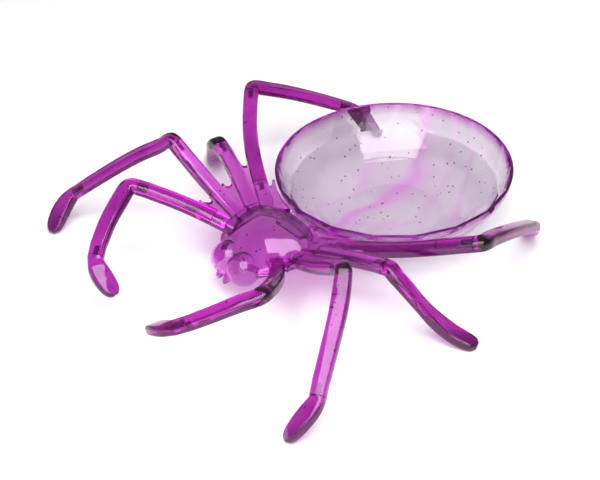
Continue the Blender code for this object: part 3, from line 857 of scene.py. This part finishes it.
def clear_plastic(name, clear, deep, absorbed, density, speck, pigment_and_painted_shade=None):
    """See-through moulded plastic: tinted walls, pigment clouds, specks and a faint surface ripple."""
    material = bpy.data.materials.new(name)
    material.use_nodes = True
    tree = material.node_tree
    shader = tree.nodes["Principled BSDF"]
    output = tree.nodes["Material Output"]
    place = node(tree, "ShaderNodeTexCoord").outputs["Object"]

    clouds = node(tree, "ShaderNodeTexNoise")
    clouds.inputs["Scale"].default_value = CLOUD_SCALE
    clouds.inputs["Detail"].default_value = 3.0
    clouds.inputs["Distortion"].default_value = 0.8
    tree.links.new(place, clouds.inputs["Vector"])
    cloudy = ramp(tree, clouds.outputs["Fac"], CLOUD_STOPS)
    colour = mix_colour(tree, cloudy, clear, deep)
    # The bowl's hook paints shade up the wall and at the rim, besides its pigment swirls.
    if pigment_and_painted_shade is not None:
        colour = pigment_and_painted_shade(tree, place, colour)
    spacing, radius, speck_colour = speck
    colour = mix_colour(tree, specks(tree, place, spacing, radius), colour, speck_colour)
    tree.links.new(colour, shader.inputs["Base Color"])

    shader.inputs["Metallic"].default_value = 0.0
    shader.inputs["IOR"].default_value = PLASTIC_IOR
    shader.inputs["Transmission Weight"].default_value = 1.0
    ripple = node(tree, "ShaderNodeTexNoise")
    ripple.inputs["Scale"].default_value = RIPPLE_SCALE
    ripple.inputs["Detail"].default_value = 2.0
    tree.links.new(place, ripple.inputs["Vector"])
    rough = math_node(tree, "MULTIPLY", ripple.outputs["Fac"], ROUGHNESS_SPREAD)
    tree.links.new(math_node(tree, "ADD", rough, ROUGHNESS_BASE), shader.inputs["Roughness"])
    bump = node(tree, "ShaderNodeBump")
    bump.inputs["Strength"].default_value = BUMP_STRENGTH
    bump.inputs["Distance"].default_value = BUMP_DEPTH
    tree.links.new(ripple.outputs["Fac"], bump.inputs["Height"])
    tree.links.new(bump.outputs["Normal"], shader.inputs["Normal"])

    volume = node(tree, "ShaderNodeVolumeAbsorption")
    volume.inputs["Color"].default_value = absorbed
    volume.inputs["Density"].default_value = density
    tree.links.new(volume.outputs["Volume"], output.inputs["Volume"])
    return material


# Bands of pigment in the bowl: where they lie across it, half width, strength; metres.
SWIRLS = (
    (-0.036, 0.005, 0.30),
    (-0.014, 0.005, 0.60),
    (-0.009, 0.011, 0.25),
    (0.012, 0.006, 0.25),
    (0.034, 0.005, 0.35),
)
SWIRL_SLANT = 0.35
SWIRL_COLOUR = (0.92, 0.55, 0.92, 1.0)
# Painted shade: grey darkening up the bowl's wall, where the floor seen through it is brighter than the
# shaded floor under the bowl.
WALL_PAINTED_SHADE = (0.69, 0.69, 0.70, 1.0)
# Painted shade: the dark purple line the clear rim shows when seen edge-on.
RIM_PAINTED_SHADE = (0.46, 0.13, 0.44, 1.0)
PAINTED_SHADE_HEIGHT = 0.037
DARK_SPECK = (0.05, 0.0, 0.06, 1.0)


def body_plastic():
    return clear_plastic(
        "body_plastic",
        (0.82, 0.34, 0.82, 1.0),
        (0.72, 0.24, 0.72, 1.0),
        (0.82, 0.0, 0.80, 1.0),
        130.0,
        (0.0085, 0.0007, DARK_SPECK),
    )


def leg_plastic():
    return clear_plastic(
        "leg_plastic",
        (0.56, 0.11, 0.55, 1.0),
        (0.38, 0.04, 0.37, 1.0),
        (0.84, 0.0, 0.80, 1.0),
        190.0,
        (0.0075, 0.0008, DARK_SPECK),
    )


def swirls(tree, place):
    """Bands of pigment that run along the bowl, bent by noise: one strong, the others faint."""
    bend = node(tree, "ShaderNodeTexNoise")
    bend.inputs["Scale"].default_value = 11.0
    bend.inputs["Detail"].default_value = 2.0
    tree.links.new(place, bend.inputs["Vector"])
    shift = math_node(tree, "MULTIPLY", math_node(tree, "SUBTRACT", bend.outputs["Fac"], 0.5), 0.075)
    parts = node(tree, "ShaderNodeSeparateXYZ")
    tree.links.new(place, parts.inputs["Vector"])
    slant = math_node(tree, "MULTIPLY", parts.outputs["Y"], SWIRL_SLANT)
    slanted = math_node(tree, "ADD", parts.outputs["X"], slant)
    across = math_node(tree, "ADD", slanted, shift)
    total = 0.0
    for centre, width, strength in SWIRLS:
        away = math_node(tree, "ABSOLUTE", math_node(tree, "SUBTRACT", across, centre))
        inward = math_node(tree, "SUBTRACT", 1.0, math_node(tree, "DIVIDE", away, width))
        band = math_node(tree, "MAXIMUM", inward)
        total = math_node(tree, "ADD", total, math_node(tree, "MULTIPLY", band, strength))
    return math_node(tree, "MINIMUM", total, 1.0)


def bowl_swirls_and_painted_shade(tree, place, colour):
    """Painted shade of grey up the wall of the bowl, a painted dark purple shade line at the rim, and the
    pigment swirls over both.
    """
    parts = node(tree, "ShaderNodeSeparateXYZ")
    tree.links.new(place, parts.inputs["Vector"])
    up_the_wall = math_node(tree, "MULTIPLY", parts.outputs["Z"], 1.0 / PAINTED_SHADE_HEIGHT)
    # Painted shade: grey up the wall, where the floor seen through it is brighter than the shaded floor
    # under the bowl.
    painted_shade_on_wall = ramp(tree, up_the_wall, ((0.46, 0.0), (0.68, 1.0)))
    # Painted shade: dark purple at the rim, where the clear edge darkens when seen edge-on.
    painted_shade_on_rim = ramp(tree, up_the_wall, ((0.80, 0.0), (0.99, 1.0)))
    colour = mix_colour(tree, painted_shade_on_wall, colour, WALL_PAINTED_SHADE)
    colour = mix_colour(tree, painted_shade_on_rim, colour, RIM_PAINTED_SHADE)
    return mix_colour(tree, swirls(tree, place), colour, SWIRL_COLOUR)


def bowl_plastic():
    return clear_plastic(
        "bowl_plastic",
        (0.92, 0.95, 0.93, 1.0),
        (0.88, 0.85, 0.89, 1.0),
        (0.94, 0.60, 0.95, 1.0),
        80.0,
        (0.0068, 0.0007, DARK_SPECK),
        bowl_swirls_and_painted_shade,
    )


# =======================================================================================================
# Assembly
# =======================================================================================================
def fit_to_box(obj, cad_node):
    """Lays the piece exactly into its CAD node's box."""
    low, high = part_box(cad_node)
    points = [v.co for v in obj.data.vertices] + BOX_POINTS.get(obj.name, [])
    own_low = Vector(min(p[i] for p in points) for i in range(3))
    own_high = Vector(max(p[i] for p in points) for i in range(3))
    scale = [(high[i] - low[i]) / (own_high[i] - own_low[i]) for i in range(3)]
    middle = (low + high) / 2.0
    own_middle = (own_low + own_high) / 2.0
    move = Matrix.Translation(middle) @ Matrix.Diagonal((*scale, 1.0)) @ Matrix.Translation(-own_middle)
    obj.data.transform(move)


def finish_piece(obj, cad_node, cad_body, material, sharp_degrees):
    obj.data.materials.clear()
    obj.data.materials.append(material)
    obj.data.shade_smooth()
    obj.data.set_sharp_from_angle(angle=math.radians(sharp_degrees))
    fit_to_box(obj, cad_node)
    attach(obj, cad_body)
    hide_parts(cad_node)


def leg_pieces(side):
    """Every separate leg piece of one side, by the name of its CAD node."""
    made = {
        "femur_1_" + side: separate_femur("clear_femur_1_" + side, on_side(FEMUR_1, side), SOCKET_1_END),
        "femur_4_" + side: separate_femur("clear_femur_4_" + side, on_side(FEMUR_4, side), SOCKET_4_END),
        "lower_leg_3_" + side: whole_lower_leg(
            "clear_lower_leg_3_" + side, on_side(FEMUR_3, side), on_side(SHIN_3, side)
        ),
    }
    for number, femur, shin_curve, foot_curve in (
        (1, FEMUR_1, SHIN_1, FOOT_1),
        (2, FEMUR_2, SHIN_2, FOOT_2),
        (4, FEMUR_4, SHIN_4, FOOT_4),
    ):
        label = str(number) + "_" + side
        own_femur, own_shin, own_foot = (on_side(c, side) for c in (femur, shin_curve, foot_curve))
        made["shin_" + label] = shin("clear_shin_" + label, own_femur, own_shin)
        made["foot_" + label] = foot("clear_foot_" + label, own_shin, own_foot)
    return made


def build_object():
    finish_piece(body(), "body_shell", "body", body_plastic(), 35.0)
    finish_piece(bowl_with_tongue(), "bowl", "bowl", bowl_plastic(), 9.0)
    purple = leg_plastic()
    for side in ("left", "right"):
        for cad_node, piece in leg_pieces(side).items():
            finish_piece(piece, cad_node, cad_node, purple, 35.0)


# =======================================================================================================
# Stage
# =======================================================================================================
FLOOR_REACH = 1.15
FLOOR_LEVEL = -0.0003
WALL_LIGHT = 0.36
CEILING_LIGHT = 0.30
MOST_BOUNCES = 32
# Name, direction, distance, width, height (metres), how bright the face looks.
SOFTBOXES = (
    ("key_softbox", (0.40, -0.22, 0.89), 1.0, 0.90, 0.90, 6.3),
    ("fill_softbox", (0.72, -0.58, 0.38), 1.5, 1.5, 0.9, 2.4),
)
CAMERA_RIGHT = Vector((0.6095, 0.7922, -0.0312))
CAMERA_UP = Vector((-0.4599, 0.3853, 0.8000))
CAMERA_PLACE = Vector((0.668, -0.565, 0.635))
CAMERA_LENS = 100.6


def add_floor():
    mesh = bpy.data.meshes.new("floor")
    r = FLOOR_REACH
    corners = [(-r, -r, FLOOR_LEVEL), (r, -r, FLOOR_LEVEL), (r, r, FLOOR_LEVEL), (-r, r, FLOOR_LEVEL)]
    mesh.from_pydata(corners, [], [(0, 1, 2, 3)])
    floor = bpy.data.objects.new("floor", mesh)
    bpy.context.scene.collection.objects.link(floor)
    material = bpy.data.materials.new("floor_white")
    material.use_nodes = True
    shader = material.node_tree.nodes["Principled BSDF"]
    shader.inputs["Base Color"].default_value = (0.93, 0.93, 0.93, 1.0)
    shader.inputs["Roughness"].default_value = 0.9
    shader.inputs["Specular IOR Level"].default_value = 0.0
    mesh.materials.append(material)
    floor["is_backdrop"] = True


def add_world():
    """A white studio: bright from the floor up to low heights, dimmer overhead."""
    world = bpy.data.worlds.new("studio")
    bpy.context.scene.world = world
    world.use_nodes = True
    tree = world.node_tree
    background = tree.nodes["Background"]
    parts = node(tree, "ShaderNodeSeparateXYZ")
    tree.links.new(node(tree, "ShaderNodeTexCoord").outputs["Generated"], parts.inputs["Vector"])
    stops = ((0.0, WALL_LIGHT), (0.25, WALL_LIGHT), (0.62, CEILING_LIGHT))
    tree.links.new(ramp(tree, parts.outputs["Z"], stops), background.inputs["Color"])
    background.inputs["Strength"].default_value = 1.0


def add_softbox(name, direction, distance, width, height, radiance, target):
    """A rectangular area light that faces the target; radiance is how bright its face looks."""
    light = bpy.data.lights.new(name, "AREA")
    light.shape = "RECTANGLE"
    light.size = width
    light.size_y = height
    light.energy = radiance * math.pi * width * height
    lamp = bpy.data.objects.new(name, light)
    bpy.context.scene.collection.objects.link(lamp)
    away = Vector(direction).normalized()
    lamp.location = target + away * distance
    lamp.rotation_mode = "QUATERNION"
    lamp.rotation_quaternion = away.to_track_quat("Z", "Y")
    return lamp


def add_camera():
    data = bpy.data.cameras.new("camera")
    data.lens = CAMERA_LENS
    data.sensor_width = 36.0
    data.clip_start = 0.01
    camera = bpy.data.objects.new("camera", data)
    bpy.context.scene.collection.objects.link(camera)
    back = CAMERA_RIGHT.cross(CAMERA_UP).normalized()
    right = CAMERA_UP.cross(back).normalized()
    up = back.cross(right)
    turn = Matrix((right, up, back)).transposed().to_4x4()
    camera.matrix_world = Matrix.Translation(CAMERA_PLACE) @ turn
    bpy.context.scene.camera = camera


def let_light_through():
    """Thick clear plastic needs many inner bounces before a path leaves it."""
    cycles = bpy.context.scene.cycles
    cycles.max_bounces = MOST_BOUNCES
    cycles.transmission_bounces = MOST_BOUNCES
    cycles.glossy_bounces = MOST_BOUNCES
    cycles.transparent_max_bounces = MOST_BOUNCES


def build_stage():
    bpy.context.scene.view_settings.view_transform = "Standard"
    let_light_through()
    add_floor()
    add_world()
    low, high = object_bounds()
    middle = (low + high) / 2.0
    for name, direction, distance, width, height, radiance in SOFTBOXES:
        add_softbox(name, direction, distance, width, height, radiance, middle)
    add_camera()


def main():
    build_object()
    build_stage()


main()
